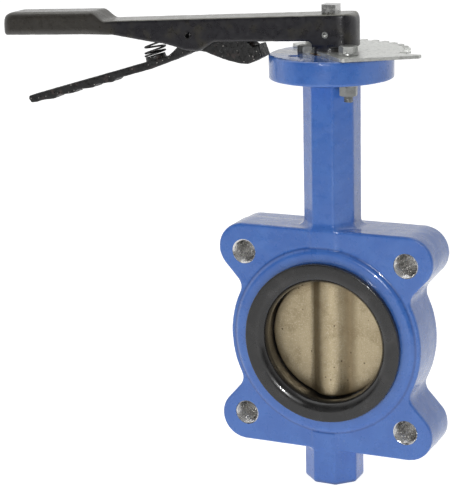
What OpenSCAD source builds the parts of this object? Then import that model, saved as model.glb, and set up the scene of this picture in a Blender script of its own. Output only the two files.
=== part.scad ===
// Lug butterfly valve, 3 inch (DN 80), with a squeeze-lever handle.
// The pipe axis is Y, the stem axis is Z, and the origin is the centre of the disc.
// The valve is closed: the disc lies in the XZ plane and the handle points along -X.

/* [Body casting] */
// Thickness of the lug slab along the pipe
slab_t = 34; // [32:0.5:36]
// Length of the valve along the pipe, over the rubber faces
face_to_face = 46; // [45:0.5:48]
// Diameter of the circle through the pipe-bolt holes
lug_pcd = 152.4; // [150:0.1:155]
// Diameter of the tapped pipe-bolt holes, at the thread's crest circle
lug_hole_d = 15.88; // [14:0.01:16]
// Outside radius of each lug
lug_r = 16.4; // [15.5:0.1:17]
// Outside radius of the body ring
ring_r = 63.6; // [62:0.1:64.5]
// Radius of the fillet between a lug and the ring
lug_fillet_r = 8; // [6:1:10]
// Distance across the corners of the octagonal neck
neck_d = 35.8; // [34:0.1:37]
// Distance across the corners of the octagonal foot
foot_d = 37.6; // [35:0.1:39]
// Height of the lower end of the casting
foot_z = -96; // [-98:1:-92]

/* [Mounting flange] */
// Height of the flange's top face
flange_z = 180; // [176:1:184]
// Diameter of the flange
flange_d = 77; // [75:1:79]
// Thickness of the flange
flange_t = 15; // [14:1:16]
// Diameter of the circle through the four flange holes
flange_pcd = 50; // [49:0.5:51]
// Diameter of the flange holes
flange_hole_d = 7; // [6.6:0.1:7.4]

/* [Seat and disc] */
// Bore of the rubber seat
seat_bore_d = 79; // [78:0.1:79.5]
// Outside diameter of the seat's lips
seat_lip_d = 103.1; // [101:0.1:105]
// Gap between the disc's rim and the seat
disc_gap = 0.08; // [0.05:0.01:0.1]
// Thickness of the disc's wings
disc_t = 10; // [9:0.5:11]
// Diameter of the hub that runs down the disc
disc_hub_d = 23; // [22:0.5:24]

/* [Stem] */
// Diameter of the stem
stem_d = 12.7; // [12.5:0.1:12.8]
// Width of the square that drives the handle
stem_square = 9; // [8.8:0.1:9.1]
// Height of the stem's upper end
stem_top_z = 210; // [209:0.5:212]
// Diameter of the stem's lower journal
journal_d = 10.9; // [10.8:0.1:11]

/* [Notched plate] */
// Thickness of the plate
plate_t = 2; // [1.8:0.1:2.2]
// Radius of the notched edge
plate_r = 48.5; // [47:0.5:50]
// Number of notches over the quarter turn
notch_count = 10; // [7, 10]
// Width of each notch
notch_w = 4.5; // [4:0.1:5]
// Radius of the stop tabs at both ends
stop_r = 59; // [57:0.5:60]

/* [Handle] */
// Width of the handle
lever_w = 23; // [22:0.5:23]
// Height of the handle's top over the stem axis
lever_top_z = 204.6; // [204:0.1:206]
// Angle at which the handle's underside falls away from the hub
lever_droop = 2.4; // [2:0.1:2.8]
// Angle at which the handle's top falls away from the hub
lever_taper = 3.4; // [3.2:0.1:3.6]
// Distance from the stem to the handle's end
lever_end = 228.5; // [224:0.5:232]
// Distance from the stem to the squeeze trigger's pivot
pivot_x = 92; // [91:0.5:93]
// Diameter of the pivot pin
pin_d = 4.9; // [4.5:0.1:5]
// Coils in the trigger spring
spring_turns = 4; // [3:1:5]

/* [Hidden] */
$fn = 96;

// Clearances: a turning fit, and a part laid against or pressed into another
run_gap = 0.05;
seat_gap = 0.02;
// Overlap that lets a cut pass through a face
eps = 1;

// Body
lug_xz = lug_pcd / 2 / sqrt(2);
lug_out = [1, 2];
lug_flare = 3;
slab_half = slab_t / 2;
face_half = face_to_face / 2;
lip_t = 4;
ring_face_half = face_half - lip_t;
ring_face_r = 57.5;
ring_base_r = 60.5;
liner_r = 47;
neck_bore_r = 8;
foot_floor = 11;
neck_base_z = 60;

// Stem and what holds it
stem_r = stem_d / 2;
stem_bore_r = stem_r + run_gap;
journal_r = journal_d / 2;
journal_end_z = foot_z + foot_floor + 2;
drive_flat = journal_d + 0.1;
drive_end_z = -38;
washer_t = 3;
washer_r = 13;
clip_pocket_t = 3;
clip_pocket_r = 10;
clip_groove_r = 5.6;
clip_t = 1.1;
clip_z = flange_z - washer_t - clip_pocket_t + 1.2;
square_z = flange_z + 1.3;

// Disc
disc_r = seat_bore_d / 2 - disc_gap;
hub_blend_r = 7;

// Metric M6 fasteners
bolt_d = 6;
hex_d = 10 / cos(30);
head_h = 4;
nut_h = 6;
flat_washer_t = 1.6;
flat_washer_d = 12.4;
plate_bolt_l = 30;
bolt_fit = 0.1;
plate_top_z = flange_z + plate_t;
head_z = plate_top_z + flat_washer_t;
flange_under_z = flange_z - flange_t;
retainer_xy = [-16.8, 1.5];
retainer_l = 12;

// Handle and trigger
hub_x0 = -9;
hub_bottom_z = flange_z + 4.6;
spigot_r = 11;
spigot_z = plate_top_z + 0.3;
hub_round_r = 5.5;
hub_end_x = 18;
arm_z = 188.4;
ear_low_z = 179.1;
grip_lift = 4.6;
grip_t = 15.1;
grip_x = -161.5;
neck_x = -151;
slot_w = 15;
slot_x0 = -141;
slot_x1 = -16;
slot_roof_t = 4.5;
set_screw_z = 192.3;
set_screw_d = 4;
pivot_z = 188.4;
trigger_w = 12.8;
trigger_hub_r = 5.5;
trigger_slope = 16.6;
trigger_end = 126;
trigger_t = 5;
grip_tooth = 15.2;
spring_x = -120.5;
spring_d = 14.2;
spring_wire = 1.3;
spring_seat_z = 173.8;
spring_seat_r = 6.6;
spring_seat_h = 4;

// ---- Shared shapes ----

// Points of an arc about c, from angle a0 to a1
function arc(c, r, a0, a1, n = 12) =
  [for (i = [0:n]) let (a = a0 + (a1 - a0) * i / n) [c.x + r * cos(a), c.y + r * sin(a)]];

// A list without its first, or its last, entry
function tail(v) = [for (i = [1:len(v) - 1]) v[i]];
function most(v) = [for (i = [0:len(v) - 2]) v[i]];
function reversed(v) = [for (i = [len(v) - 1:-1:0]) v[i]];

// Extrudes an outline drawn in X and Z along Y, centred on the XZ plane
module along_y(length) {
  translate([0, length / 2, 0]) rotate([90, 0, 0]) linear_extrude(length) children();
}

// A round bar along Y, centred on the XZ plane
module bar_y(r, length) {
  rotate([90, 0, 0]) cylinder(r = r, h = length, center = true);
}

// A ring round the stem axis
module ring(r_out, r_in, z, h) {
  translate([0, 0, z]) difference() {
    cylinder(r = r_out, h = h);
    translate([0, 0, -eps]) cylinder(r = r_in, h = h + 2 * eps);
  }
}

// Repeats its children at the four flange-hole angles that are listed
module at_flange_holes(angles) {
  for (a = angles) rotate([0, 0, a]) translate([flange_pcd / 2, 0, 0]) children();
}

// ---- Body ----

// One quarter of the slab's outline: from the ring on +X, round a lug, to the middle of the top.
// The lug stands a little outward of its hole. Its flank opens towards the ring by lug_flare,
// and a fillet joins the two.
function quarter_outline() =
  let (
    lug_c = [lug_xz, lug_xz] + lug_out,
    flank_a = lug_flare - 45,
    flank_n = [cos(flank_a), sin(flank_a)],
    flank_t = [-flank_n.y, flank_n.x],
    off = lug_c * flank_n + lug_r + lug_fillet_r,
    along = sqrt((ring_r + lug_fillet_r)^2 - off^2),
    fillet_c = off * flank_n + along * flank_t,
    ring_a = atan2(fillet_c.y, fillet_c.x)
  )
  concat(
    arc([0, 0], ring_r, 0, ring_a, 10),
    tail(arc(fillet_c, lug_fillet_r, ring_a + 180, flank_a + 180, 10)),
    arc(lug_c, lug_r, flank_a, 90, 30)
  );

module slab_outline() {
  q = quarter_outline();
  top_left = [for (p = reversed(q)) [-p.x, p.y]];
  low_left = [for (p = tail(q)) -p];
  low_right = [for (p = most(reversed(q))) [p.x, -p.y]];
  polygon(concat(q, top_left, low_left, low_right));
}

module face_ring() {
  rotate([90, 0, 0]) translate([0, 0, slab_half - eps]) {
    cylinder(r = ring_base_r, h = eps);
    translate([0, 0, eps]) cylinder(r1 = ring_base_r, r2 = ring_face_r, h = ring_face_half - slab_half);
  }
}

module octagon(d, z0, z1) {
  translate([0, 0, z0]) rotate([0, 0, 22.5]) cylinder(d = d, h = z1 - z0, $fn = 8);
}

module body() {
  color("royalblue") difference() {
    union() {
      along_y(slab_t) slab_outline();
      face_ring();
      mirror([0, 1, 0]) face_ring();
      octagon(neck_d, neck_base_z, flange_z - eps);
      octagon(foot_d, foot_z, -neck_base_z);
      translate([0, 0, flange_under_z]) cylinder(d = flange_d, h = flange_t);
    }
    bar_y(liner_r + seat_gap, face_to_face + eps);
    body_stem_bores();
    for (x = [-lug_xz, lug_xz], z = [-lug_xz, lug_xz])
      translate([x, 0, z]) bar_y(lug_hole_d / 2, slab_t + 2 * eps);
    at_flange_holes([45, 135, 225, 315])
      translate([0, 0, flange_under_z - eps]) cylinder(d = flange_hole_d, h = flange_t + 2 * eps);
    translate([retainer_xy.x, retainer_xy.y, flange_z - retainer_l - eps])
      cylinder(d = bolt_d, h = retainer_l + 2 * eps);
  }
}

module body_stem_bores() {
  pocket_z = flange_z - washer_t - clip_pocket_t;
  translate([0, 0, foot_z + foot_floor]) cylinder(r = neck_bore_r, h = pocket_z - foot_z - foot_floor + eps);
  translate([0, 0, pocket_z]) cylinder(r = clip_pocket_r, h = clip_pocket_t + eps);
  translate([0, 0, flange_z - washer_t]) cylinder(r = washer_r + run_gap, h = washer_t + eps);
}

// ---- Seat and disc ----

// Half of the seat's section, as radius and distance along the pipe
function seat_half_section(round_r = 7.2, edge_r = 0.8, waist = 10) =
  let (
    bore_r = seat_bore_d / 2,
    lip_r = seat_lip_d / 2,
    mouth_r = bore_r - 0.9
  )
  concat(
    [[liner_r, ring_face_half + seat_gap], [lip_r, ring_face_half + seat_gap]],
    arc([lip_r - edge_r, face_half - edge_r], edge_r, 0, 90, 4),
    arc([mouth_r + round_r, face_half - round_r], round_r, 90, 180, 10),
    [[bore_r, waist]]
  );

module seat() {
  s = seat_half_section();
  color([0.16, 0.16, 0.17]) difference() {
    rotate([90, 0, 0]) rotate_extrude() polygon(concat(s, [for (p = reversed(s)) [p.x, -p.y]]));
    translate([0, 0, -liner_r - eps]) cylinder(r = stem_bore_r, h = 2 * (liner_r + eps));
  }
}

// The disc's section across the stem: two wings and a hub, with the hollow between them rounded
module disc_section() {
  wing = disc_t / 2;
  hub_r = disc_hub_d / 2;
  blend_x = sqrt((hub_r + hub_blend_r)^2 - (wing + hub_blend_r)^2);
  touch_x = blend_x * hub_r / (hub_r + hub_blend_r);
  circle(r = hub_r);
  square([2 * disc_r, disc_t], center = true);
  for (sx = [-1, 1], sy = [-1, 1]) scale([sx, sy]) difference() {
    polygon([[touch_x - 2, 0], [blend_x, 0], [blend_x, wing + hub_blend_r], [touch_x - 2, hub_r - 1.5]]);
    translate([blend_x, wing + hub_blend_r]) circle(r = hub_blend_r);
  }
}

// A stem section with two flats, as wide as the drive in the disc
module drive_section(r, flat) {
  intersection() {
    circle(r = r);
    square([2 * r + 1, flat], center = true);
  }
}

module disc() {
  color([0.66, 0.6, 0.46]) difference() {
    intersection() {
      sphere(r = disc_r);
      linear_extrude(2 * disc_r, center = true) disc_section();
    }
    cylinder(r = stem_bore_r, h = disc_r + eps);
    translate([0, 0, -disc_r - eps])
      linear_extrude(disc_r + 2 * eps) drive_section(stem_bore_r, drive_flat + 2 * run_gap);
  }
}

// ---- Stem, bearings and seals ----

module stem() {
  color("silver") difference() {
    union() {
      translate([0, 0, journal_end_z]) cylinder(r = journal_r, h = drive_end_z - journal_end_z);
      translate([0, 0, drive_end_z]) linear_extrude(-drive_end_z) drive_section(stem_r, drive_flat);
      cylinder(r = stem_r, h = square_z);
      intersection() {
        translate([0, 0, square_z]) cylinder(r = stem_r, h = stem_top_z - square_z);
        translate([-stem_square / 2, -stem_square / 2, square_z])
          cube([stem_square, stem_square, stem_top_z - square_z]);
      }
    }
    ring(stem_r + eps, clip_groove_r, clip_z - seat_gap, clip_t + 2 * seat_gap);
  }
}

module bushing(r_in, z, h) {
  color([0.72, 0.55, 0.3]) ring(neck_bore_r - seat_gap, r_in, z, h);
}

module upper_bushing() {
  bushing(stem_bore_r, flange_z - 30, 20);
}

module middle_bushing() {
  bushing(stem_bore_r, liner_r + 0.5, 19);
}

module lower_bushing() {
  bushing(journal_r + run_gap, -80, 30);
}

module stem_packing() {
  color([0.12, 0.12, 0.12]) ring(neck_bore_r - seat_gap, stem_bore_r, liner_r + 20, 6);
}

module stem_wiper() {
  color([0.12, 0.12, 0.12]) ring(neck_bore_r - seat_gap, stem_bore_r, flange_z - 9.6, 3);
}

module thrust_washer() {
  color([0.72, 0.55, 0.3]) ring(washer_r, stem_bore_r, flange_z - washer_t + seat_gap, washer_t - seat_gap);
}

module stem_circlip() {
  gap = 6;
  color([0.35, 0.35, 0.37]) difference() {
    ring(9, clip_groove_r + seat_gap, clip_z, clip_t);
    translate([0, -gap / 2, clip_z - eps]) cube([12, gap, clip_t + 2 * eps]);
  }
}

// ---- Fasteners ----

module hex_prism(h) {
  cylinder(d = hex_d, h = h, $fn = 6);
}

// A hexagon-head screw with its head's seat at z = 0
module hex_screw(length) {
  hex_prism(head_h);
  translate([0, 0, -length]) cylinder(d = bolt_d - bolt_fit, h = length + eps);
}

module flat_washer() {
  difference() {
    cylinder(d = flat_washer_d, h = flat_washer_t);
    translate([0, 0, -eps]) cylinder(d = bolt_d + 0.4, h = flat_washer_t + 2 * eps);
  }
}

// The screw whose head holds the thrust washer down; one flat of the head faces the stem
module retainer_screw() {
  toward_stem = atan2(retainer_xy.y, retainer_xy.x);
  color([0.75, 0.76, 0.74]) translate([retainer_xy.x, retainer_xy.y, flange_z + seat_gap])
    rotate([0, 0, toward_stem + 30]) hex_screw(retainer_l - 1);
}

module plate_bolts() {
  color([0.78, 0.79, 0.77]) at_flange_holes([135, 315])
    translate([0, 0, head_z]) rotate([0, 0, 20]) hex_screw(plate_bolt_l);
}

module plate_washers() {
  color([0.78, 0.79, 0.77]) at_flange_holes([135, 315]) {
    translate([0, 0, plate_top_z]) flat_washer();
    translate([0, 0, flange_under_z - flat_washer_t]) flat_washer();
  }
}

module plate_nuts() {
  color([0.7, 0.71, 0.68]) at_flange_holes([135, 315])
    translate([0, 0, flange_under_z - flat_washer_t - nut_h]) rotate([0, 0, 40]) difference() {
      hex_prism(nut_h);
      translate([0, 0, -eps]) cylinder(d = bolt_d, h = nut_h + 2 * eps);
    }
}

// ---- Notched plate ----

// One side of the plate's outline, from the middle of its straight edge to the first notch.
// The plate is drawn about +X and turned so that its notches cover the quarter from +X to +Y.
function plate_side() =
  let (
    back_u = -10.7,
    ear_v = 38.2,
    ear_r = 3,
    tab_a = 52,
    step_a = 48.5
  )
  concat(
    [[back_u, 0]],
    arc([back_u + ear_r, ear_v - ear_r], ear_r, 180, 90, 6),
    arc([0, 0], stop_r, tab_a, step_a, 4),
    arc([0, 0], plate_r, step_a, 0, 24)
  );

module plate_outline() {
  side = plate_side();
  polygon(concat(side, [for (p = reversed(most(tail(side)))) [p.x, -p.y]]));
}

module notch_plate() {
  notch_depth = 4.5;
  pitch = 90 / (notch_count - 1);
  relief_r = hex_d / 2 + 1;
  color([0.78, 0.79, 0.75]) translate([0, 0, flange_z]) difference() {
    rotate([0, 0, 45]) linear_extrude(plate_t) difference() {
      plate_outline();
      for (k = [0:notch_count - 1]) rotate(-45 + k * pitch)
        translate([plate_r - notch_depth, -notch_w / 2]) square([notch_depth + eps, notch_w]);
    }
    translate([0, 0, -eps]) cylinder(r = stem_r + 1, h = plate_t + 2 * eps);
    at_flange_holes([135, 315]) translate([0, 0, -eps]) cylinder(d = bolt_d + 0.6, h = plate_t + 2 * eps);
    translate([retainer_xy.x, retainer_xy.y, -eps]) cylinder(r = relief_r, h = plate_t + 2 * eps);
  }
}

// ---- Handle ----

// Heights of the handle's underside, its top and the grip, at a distance x along it
function under_z(x) = arm_z + x * tan(lever_droop);
function top_z(x) = lever_top_z + x * tan(lever_taper);
function grip_under_z(x) = under_z(x) + grip_lift;
function grip_top_z(x) = grip_under_z(x) + grip_t;

function lever_profile() =
  let (
    end_x = -lever_end,
    round_top = 9.5,
    round_low = 3.5,
    fillet = 2.6,
    step_n = 10
  )
  concat(
    [[hub_x0, hub_bottom_z], [hub_end_x, hub_bottom_z]],
    arc([hub_end_x - hub_round_r, top_z(0) - hub_round_r + 0.6], hub_round_r, 0, 90, 8),
    // The smooth step from the arm's top up to the grip
    [for (i = [0:step_n])
      let (t = i / step_n, s = t * t * (3 - 2 * t), x = neck_x + (grip_x - neck_x) * t)
      [x, top_z(x) * (1 - s) + grip_top_z(x) * s]],
    arc([end_x + round_top, grip_top_z(end_x) - round_top + 0.3], round_top, 90, 180, 10),
    arc([end_x + round_low, grip_under_z(end_x) + round_low], round_low, 180, 270, 6),
    [[-152.5, grip_under_z(-152.5)], [-146, under_z(-146) + 4.6]],
    // The ear round the pivot pin, a little flat underneath
    [[-118, under_z(-118)], [-110, under_z(-110) - 1], [-102.5, under_z(-102.5) - 2.8]],
    arc([-93, ear_low_z + 10], 10, 252, 270, 4),
    arc([-86.5, ear_low_z + 8], 8, 270, 302, 6),
    [[-73.8, under_z(-73.8)]],
    arc([hub_x0 - fillet, under_z(hub_x0) - fillet], fillet, 90, 0, 5)
  );

// The handle seen from above, with a round end at the hub
module lever_plan() {
  round_r = lever_w / 2;
  grip_round = 8.5;
  translate([hub_end_x - round_r, 0]) circle(r = round_r);
  translate([-lever_end + grip_round, -round_r]) square([lever_end - grip_round + hub_end_x - round_r, lever_w]);
  for (s = [-1, 1]) translate([-lever_end + grip_round, s * (round_r - grip_round)]) circle(r = grip_round);
  translate([-lever_end, -round_r + grip_round]) square([2 * grip_round, lever_w - 2 * grip_round]);
}

module lever() {
  square_gap = 0.1;
  square_w = stem_square + square_gap;
  color([0.13, 0.13, 0.15]) difference() {
    union() {
      intersection() {
        along_y(lever_w + 2) polygon(lever_profile());
        translate([0, 0, flange_z - 5]) linear_extrude(40) lever_plan();
      }
      translate([0, 0, spigot_z]) cylinder(r = spigot_r, h = hub_bottom_z - spigot_z + eps);
    }
    along_y(slot_w) polygon([
      [slot_x0, hub_bottom_z - 20], [slot_x1, hub_bottom_z - 20],
      [slot_x1, top_z(slot_x1) - slot_roof_t], [slot_x0, top_z(slot_x0) - slot_roof_t]
    ]);
    translate([-square_w / 2, -square_w / 2, flange_z]) cube([square_w, square_w, 40]);
    translate([-pivot_x, 0, pivot_z]) bar_y(pin_d / 2 + run_gap, lever_w + 2 * eps);
    translate([0, -lever_w / 4 - eps, set_screw_z]) bar_y(set_screw_d / 2 + run_gap, lever_w / 2 + eps);
  }
}

module lever_set_screw() {
  y_in = stem_square / 2 + 0.1;
  y_out = lever_w / 2 - 0.6;
  color([0.6, 0.61, 0.6]) translate([0, -y_in, set_screw_z]) rotate([90, 0, 0]) difference() {
    cylinder(d = set_screw_d, h = y_out - y_in);
    translate([0, 0, y_out - y_in - 1.5]) cylinder(d = 2.3, h = 1.5 + eps, $fn = 6);
  }
}

// ---- Trigger ----

// The ribbed underside of the trigger's arm: shallow teeth that a finger feels
function rib(u) =
  let (t = u / grip_tooth - floor(u / grip_tooth), rise = 0.22)
  1.3 * (t < rise ? t / rise : (1 - t) / (1 - rise));

// A point of the arm, u along it from the pivot and v above its top edge
function arm_point(u, v) =
  let (c = cos(trigger_slope), s = sin(trigger_slope), top0 = -9.1)
  [-u * c - v * s, top0 - u * s + v * c];

// The trigger's outline in X and Z, measured from its pivot
function trigger_profile() =
  let (
    rib_start = 58,
    rib_n = 36,
    end_r = 2.2,
    end_t = 3.8
  )
  concat(
    // The nose that drops into a notch, below the handle
    [[0, trigger_hub_r], [6, 2.5], [35.5, 1.2], [38.5, -2.6], [42, -5.6], [46, -4.2], [48.7, -11.9]],
    [[45, -14], [38.6, -16.9], [33, -16.7], [24.8, -15.2], [19, -13.5], [10, -10.5], [5.8, -9.9], [-0.6, -11.5]],
    [[-10.4, -15.8]],
    // The arm's underside, with its ribs, out to the end
    [arm_point(rib_start - 26, -trigger_t)],
    [for (i = [0:rib_n])
      let (u = rib_start + (trigger_end - 6 - rib_start) * i / rib_n)
      arm_point(u, -trigger_t - rib(u - rib_start))],
    [arm_point(trigger_end - end_r / 2, -end_t - 1), arm_point(trigger_end, -end_t / 2), arm_point(trigger_end - 1, 0)],
    // Back along the top, and up to the hub
    [arm_point(17.5, 0), [-10.2, -8.6], [-trigger_hub_r, 0]],
    arc([0, 0], trigger_hub_r, 170, 100, 6)
  );

module trigger() {
  color([0.14, 0.14, 0.14]) translate([-pivot_x, 0, pivot_z]) difference() {
    union() {
      along_y(trigger_w) polygon(trigger_profile());
      translate([spring_x + pivot_x, 0, spring_seat_z - pivot_z])
        rotate([0, -trigger_slope, 0]) translate([0, 0, -spring_seat_h]) cylinder(r = spring_seat_r, h = spring_seat_h);
    }
    bar_y(pin_d / 2 + run_gap, trigger_w + 2 * eps);
  }
}

// A rolled spring pin, slit along its length
module pivot_pin() {
  length = lever_w + 0.6;
  color([0.4, 0.4, 0.42]) translate([-pivot_x, 0, pivot_z]) difference() {
    bar_y(pin_d / 2, length);
    bar_y(pin_d / 2 - 1, length + 2 * eps);
    rotate([0, -60, 0]) translate([0, -length / 2 - eps, -0.4]) cube([pin_d, length + 2 * eps, 0.8]);
  }
}

// A coil of round wire, swept as rings of points along a helix.
// Its foot leans with the trigger's seat, and its top lies level against the handle.
module trigger_spring() {
  steps = 24;
  sides = 10;
  mean_r = (spring_d - spring_wire) / 2;
  z0 = spring_seat_z + spring_wire / 2 / cos(trigger_slope) + seat_gap;
  z1 = top_z(spring_x) - slot_roof_t - spring_wire / 2 - 0.3;
  rings = spring_turns * steps;
  lead = atan((z1 - z0) / (spring_turns * 360 * mean_r * PI / 180));
  points = [for (i = [0:rings], j = [0:sides - 1])
    let (
      a = i * 360 / steps,
      b = j * 360 / sides,
      radial = spring_wire / 2 * cos(b),
      rise = spring_wire / 2 * sin(b),
      r = mean_r + radial,
      back = -rise * sin(lead),
      x = r * cos(a) - back * sin(a),
      lean = tan(trigger_slope) * (1 - i / rings)
    )
    [x, r * sin(a) + back * cos(a), z0 + (z1 - z0) * i / rings + rise * cos(lead) + lean * x]];
  walls = [for (i = [0:rings - 1], j = [0:sides - 1])
    let (k = (j + 1) % sides)
    [i * sides + j, (i + 1) * sides + j, (i + 1) * sides + k, i * sides + k]];
  first = [for (j = [0:sides - 1]) j];
  last = [for (j = [sides - 1:-1:0]) rings * sides + j];
  color([0.3, 0.3, 0.32]) translate([spring_x, 0, 0]) polyhedron(points, concat([first, last], walls));
}

body();
seat();
disc();
stem();
upper_bushing();
middle_bushing();
lower_bushing();
stem_packing();
stem_wiper();
thrust_washer();
stem_circlip();
retainer_screw();
notch_plate();
plate_bolts();
plate_washers();
plate_nuts();
lever();
lever_set_screw();
trigger();
pivot_pin();
trigger_spring();
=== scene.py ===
"""Looks of a 3 inch lug butterfly valve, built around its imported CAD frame.

Cast pieces are sampled as distance fields, so their edges and corners get true radii, and then cut with
crisp machined holes. Turned pieces are lathed, threads and the spring are swept, and the rest are the CAD
nodes with fine bevels. Shape sizes are in millimetres until a mesh is made.
"""

import math

import bpy
import numpy as np
from mathutils import Matrix, Vector


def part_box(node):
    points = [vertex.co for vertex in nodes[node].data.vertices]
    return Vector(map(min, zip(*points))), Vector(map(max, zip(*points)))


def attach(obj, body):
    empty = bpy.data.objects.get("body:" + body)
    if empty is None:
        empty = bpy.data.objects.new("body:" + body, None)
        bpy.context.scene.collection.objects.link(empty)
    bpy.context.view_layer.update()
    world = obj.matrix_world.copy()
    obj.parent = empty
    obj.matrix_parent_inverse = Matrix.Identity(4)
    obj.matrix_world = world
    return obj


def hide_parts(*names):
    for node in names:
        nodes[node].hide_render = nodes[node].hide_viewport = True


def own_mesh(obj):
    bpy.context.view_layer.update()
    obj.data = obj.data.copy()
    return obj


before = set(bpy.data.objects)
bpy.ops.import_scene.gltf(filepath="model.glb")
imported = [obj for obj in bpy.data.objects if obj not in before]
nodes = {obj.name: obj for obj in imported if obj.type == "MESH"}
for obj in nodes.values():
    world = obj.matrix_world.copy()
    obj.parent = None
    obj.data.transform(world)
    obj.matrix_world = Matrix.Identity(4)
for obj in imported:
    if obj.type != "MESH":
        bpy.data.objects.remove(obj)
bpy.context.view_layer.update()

MM = 0.001
ROOT, ROTOR, SQUEEZE = "valve_body", "rotor", "squeeze_trigger"


def box_mm(node):
    """The lowest and highest corners of a CAD node, in millimetres."""
    low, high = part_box(node)
    return np.array(low) / MM, np.array(high) / MM


# ---- Driving dimensions, the same as the CAD's ----

BODY_LO, BODY_HI = box_mm("body")
FLANGE_Z = BODY_HI[2]
FOOT_Z = BODY_LO[2]
FLANGE_R = BODY_HI[1]
FLANGE_T = 15.0
LUG_R = 16.4
LUG_OUT = np.array([1.0, 2.0])
LUG_XZ = BODY_HI[0] - LUG_R - LUG_OUT[0]
LUG_HOLE_R = 7.94
RING_R = 63.6
LUG_FILLET_R = 8.0
LUG_FLARE = 3.0
SLAB_HALF = 17.0
RING_FACE_HALF = 19.0
RING_BASE_R = 60.5
NECK_CORNER_R = 17.9
FOOT_CORNER_R = 18.8
LINER_R = 47.0
SEAT_LIP_R = box_mm("seat")[1][0]
FACE_HALF = box_mm("seat")[1][1]
SEAT_BORE_R = 39.5
DISC_R = 39.42
STEM_R = box_mm("stem")[1][0]
FLANGE_HOLE_PCD_R = 25.0

LEVER_LO, LEVER_HI = box_mm("lever")
LEVER_HALF = LEVER_HI[1]
PIN_LO, PIN_HI = box_mm("pivot_pin")
PIVOT = (PIN_LO + PIN_HI) / 2
PIN_R = (PIN_HI[0] - PIN_LO[0]) / 2


# ---- Sampled distance fields ----


def field_axes(low, high, step):
    """Open grids X, Y and Z that broadcast together, with a margin of two steps round the box."""
    spans = [np.arange(a - 2 * step, b + 3 * step, step, dtype=np.float32) for a, b in zip(low, high)]
    return spans[0][:, None, None], spans[1][None, :, None], spans[2][None, None, :]


def arc(centre, radius, start, end, count=12):
    """Points on an arc; angles in degrees."""
    angles = np.radians(np.linspace(start, end, count + 1))
    return [(centre[0] + radius * math.cos(a), centre[1] + radius * math.sin(a)) for a in angles]


def polygon_field(points, u, v):
    """Signed distance from a closed polygon in the plane of u and v, negative inside."""
    u, v = np.broadcast_arrays(u, v)
    nearest = np.full(u.shape, 1e9, np.float32)
    inside = np.zeros(u.shape, bool)
    for (ax, ay), (bx, by) in zip(points, points[1:] + points[:1]):
        ex, ey = bx - ax, by - ay
        length2 = ex * ex + ey * ey
        if length2 < 1e-12:
            continue
        t = np.clip(((u - ax) * ex + (v - ay) * ey) / length2, 0, 1)
        nearest = np.minimum(nearest, (u - ax - t * ex) ** 2 + (v - ay - t * ey) ** 2)
        if ay != by:
            crosses = (v < ay) != (v < by)
            inside ^= crosses & (u < ax + (v - ay) * ex / ey)
    return np.where(inside, -1, 1) * np.sqrt(nearest)


def extrude(flat, across, radius=0.0):
    """A flat field extruded to where across is zero, with its edges rounded to radius."""
    a, b = flat + radius, across + radius
    outside = np.hypot(np.maximum(a, 0), np.maximum(b, 0))
    return outside + np.minimum(np.maximum(a, b), 0) - radius


def join(a, b, radius):
    """Union with a fillet of that radius in the corner."""
    fillet = np.hypot(np.maximum(radius - a, 0), np.maximum(radius - b, 0))
    return np.maximum(radius, np.minimum(a, b)) - fillet


def meet(a, b, radius):
    """Intersection with the edge rounded to radius."""
    edge = np.hypot(np.maximum(radius + a, 0), np.maximum(radius + b, 0))
    return np.minimum(-radius, np.maximum(a, b)) + edge


def lumps(shape, cell, seed):
    """Smooth random values from -1 to 1 on a grid, with lumps about cell steps wide."""
    random = np.random.RandomState(seed)
    values = random.uniform(-1, 1, [int(n / cell) + 3 for n in shape]).astype(np.float32)
    for axis, n in enumerate(shape):
        place = np.arange(n) / cell
        low = place.astype(int)
        t = place - low
        t = t * t * (3 - 2 * t)
        t = t.reshape([-1 if i == axis else 1 for i in range(3)]).astype(np.float32)
        values = np.take(values, low, axis) * (1 - t) + np.take(values, low + 1, axis) * t
    return values


def surface_net(field, axes):
    """Vertices in mm and quads of the surface where the field is zero."""
    low = np.array([a.ravel()[0] for a in axes])
    step = axes[0].ravel()[1] - axes[0].ravel()[0]
    inside = field < 0
    sx, sy, sz = (n - 1 for n in field.shape)
    count = np.zeros((sx, sy, sz), np.int8)
    for i in (0, 1):
        for j in (0, 1):
            for k in (0, 1):
                count += inside[i : sx + i, j : sy + j, k : sz + k]
    active = (count > 0) & (count < 8)
    index = np.full(active.shape, -1, np.int64)
    index[active] = np.arange(active.sum())
    cells = np.argwhere(active)
    total = np.zeros((len(cells), 3))
    hits = np.zeros(len(cells))
    unit = np.eye(3, dtype=int)
    for axis in range(3):
        others = [unit[i] for i in range(3) if i != axis]
        for i in (0, 1):
            for j in (0, 1):
                a = cells + i * others[0] + j * others[1]
                b = a + unit[axis]
                va, vb = field[tuple(a.T)], field[tuple(b.T)]
                crossed = (va < 0) != (vb < 0)
                t = np.where(crossed, va / np.where(crossed, va - vb, 1), 0)
                total += crossed[:, None] * (a + t[:, None] * unit[axis])
                hits += crossed
    vertices = low + step * total / hits[:, None]
    quads = []
    for axis in range(3):
        u, v = (axis + 1) % 3, (axis + 2) % 3
        change = np.diff(inside.astype(np.int8), axis=axis)
        at = np.argwhere(change != 0)
        at = at[(at[:, u] > 0) & (at[:, v] > 0)]
        leaves = change[tuple(at.T)] < 0
        corners = [at, at - unit[u], at - unit[u] - unit[v], at - unit[v]]
        ids = np.stack([index[tuple(c.T)] for c in corners], 1)
        ids[leaves] = ids[leaves][:, ::-1]
        quads.append(ids)
    return vertices, np.concatenate(quads)[:, ::-1]


# ---- Meshes ----


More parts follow.
